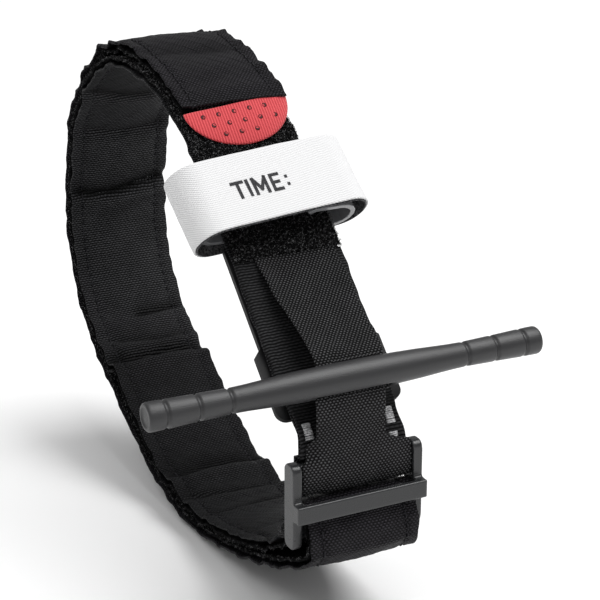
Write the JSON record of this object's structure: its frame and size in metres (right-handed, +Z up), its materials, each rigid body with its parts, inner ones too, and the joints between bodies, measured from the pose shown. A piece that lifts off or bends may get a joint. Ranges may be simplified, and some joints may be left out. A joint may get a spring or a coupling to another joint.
{
  "type": "windlass tourniquet",
  "caption": "Windlass tourniquet: a doubled webbing band through a slide buckle, an inner strap twisted by a rod, a rod clip and a labelled closing strap.",
  "frame": {"origin": "middle of the limb opening", "axes": "+X towards the windlass side, +Y along the limb and across the band, +Z up as it stands in the picture"},
  "size_m": [0.2045, 0.135, 0.1621],
  "materials": {
    "webbing": "woven nylon, ribbed",
    "pile": "hook-and-loop pile",
    "thread": "sewing thread",
    "plate_plastic": "moulded, satin",
    "clip_plastic": "moulded, semi-gloss",
    "rod_plastic": "moulded, fine matte",
    "buckle_plastic": "moulded, semi-gloss",
    "white_webbing": "twill tape",
    "hook_lining": "hook tape",
    "red_webbing": "ribbed tape with weld dots",
    "grey_thread": "dense bar-tack stitching"
  },
  "bodies": {
    "band": {"inner_run_smooth_ply": "webbing", "inner_run_pull_strap": "webbing", "inner_run_pile_ply": "pile", "outer_run_smooth_ply": "webbing", "outer_run_pull_strap": "webbing", "outer_run_pile_ply": "pile", "base_cover_ply": "webbing", "inner_run_edge_stitch_near": "thread", "inner_run_edge_stitch_far": "thread", "outer_run_edge_stitch_near": "thread", "outer_run_edge_stitch_far": "thread", "stabilisation_plate": "plate_plastic", "windlass_clip": "clip_plastic", "time_strap_face": "white_webbing", "time_strap_hook_lining": "hook_lining", "windlass_strap_upper_leg": "webbing", "windlass_strap_lower_leg": "webbing", "buckle_webbing_loop": "webbing", "bar_tack_upper_near": "grey_thread", "bar_tack_upper_far": "grey_thread", "bar_tack_lower_near": "grey_thread", "bar_tack_lower_far": "grey_thread"},
    "windlass": {"windlass_rod": "rod_plastic", "windlass_strap_eye": "webbing"},
    "time_flap": {"time_flap_face": "white_webbing", "time_flap_hook_lining": "hook_lining"},
    "tail": {"tail_smooth_ply": "webbing", "tail_pull_strap": "webbing", "tail_pile_ply": "pile", "tail_edge_stitch_near": "thread", "tail_edge_stitch_far": "thread", "red_tip": "red_webbing"},
    "buckle": {"slide_buckle": "buckle_plastic", "fold_smooth_ply": "webbing", "fold_pull_strap": "webbing", "fold_pile_ply": "pile"}
  },
  "joints": [
    {"name": "windlass_turn", "type": "hinge", "parent": "band", "child": "windlass", "pos_m": [0.08879, 0.0007, 0.00259], "axis": [0.7604, 0, 0.6494], "range_deg": [-450, 450], "deforming": ["windlass_strap_upper_leg", "windlass_strap_lower_leg"]},
    {"name": "time_flap_open", "type": "hinge", "parent": "band", "child": "time_flap", "pos_m": [0.03704, 0.01875, 0.05181], "axis": [-0.7291, -0.0785, 0.6799], "range_deg": [0, 150]},
    {"name": "tail_lift", "type": "hinge", "parent": "band", "child": "tail", "pos_m": [-0.04028, 0, 0.08045], "axis": [0, -1, 0], "range_deg": [0, 80]},
    {"name": "buckle_swing", "type": "hinge", "parent": "band", "child": "buckle", "pos_m": [0.0924, 0, -0.0235], "axis": [0, -1, 0], "range_deg": [-12, 12]}
  ]
}
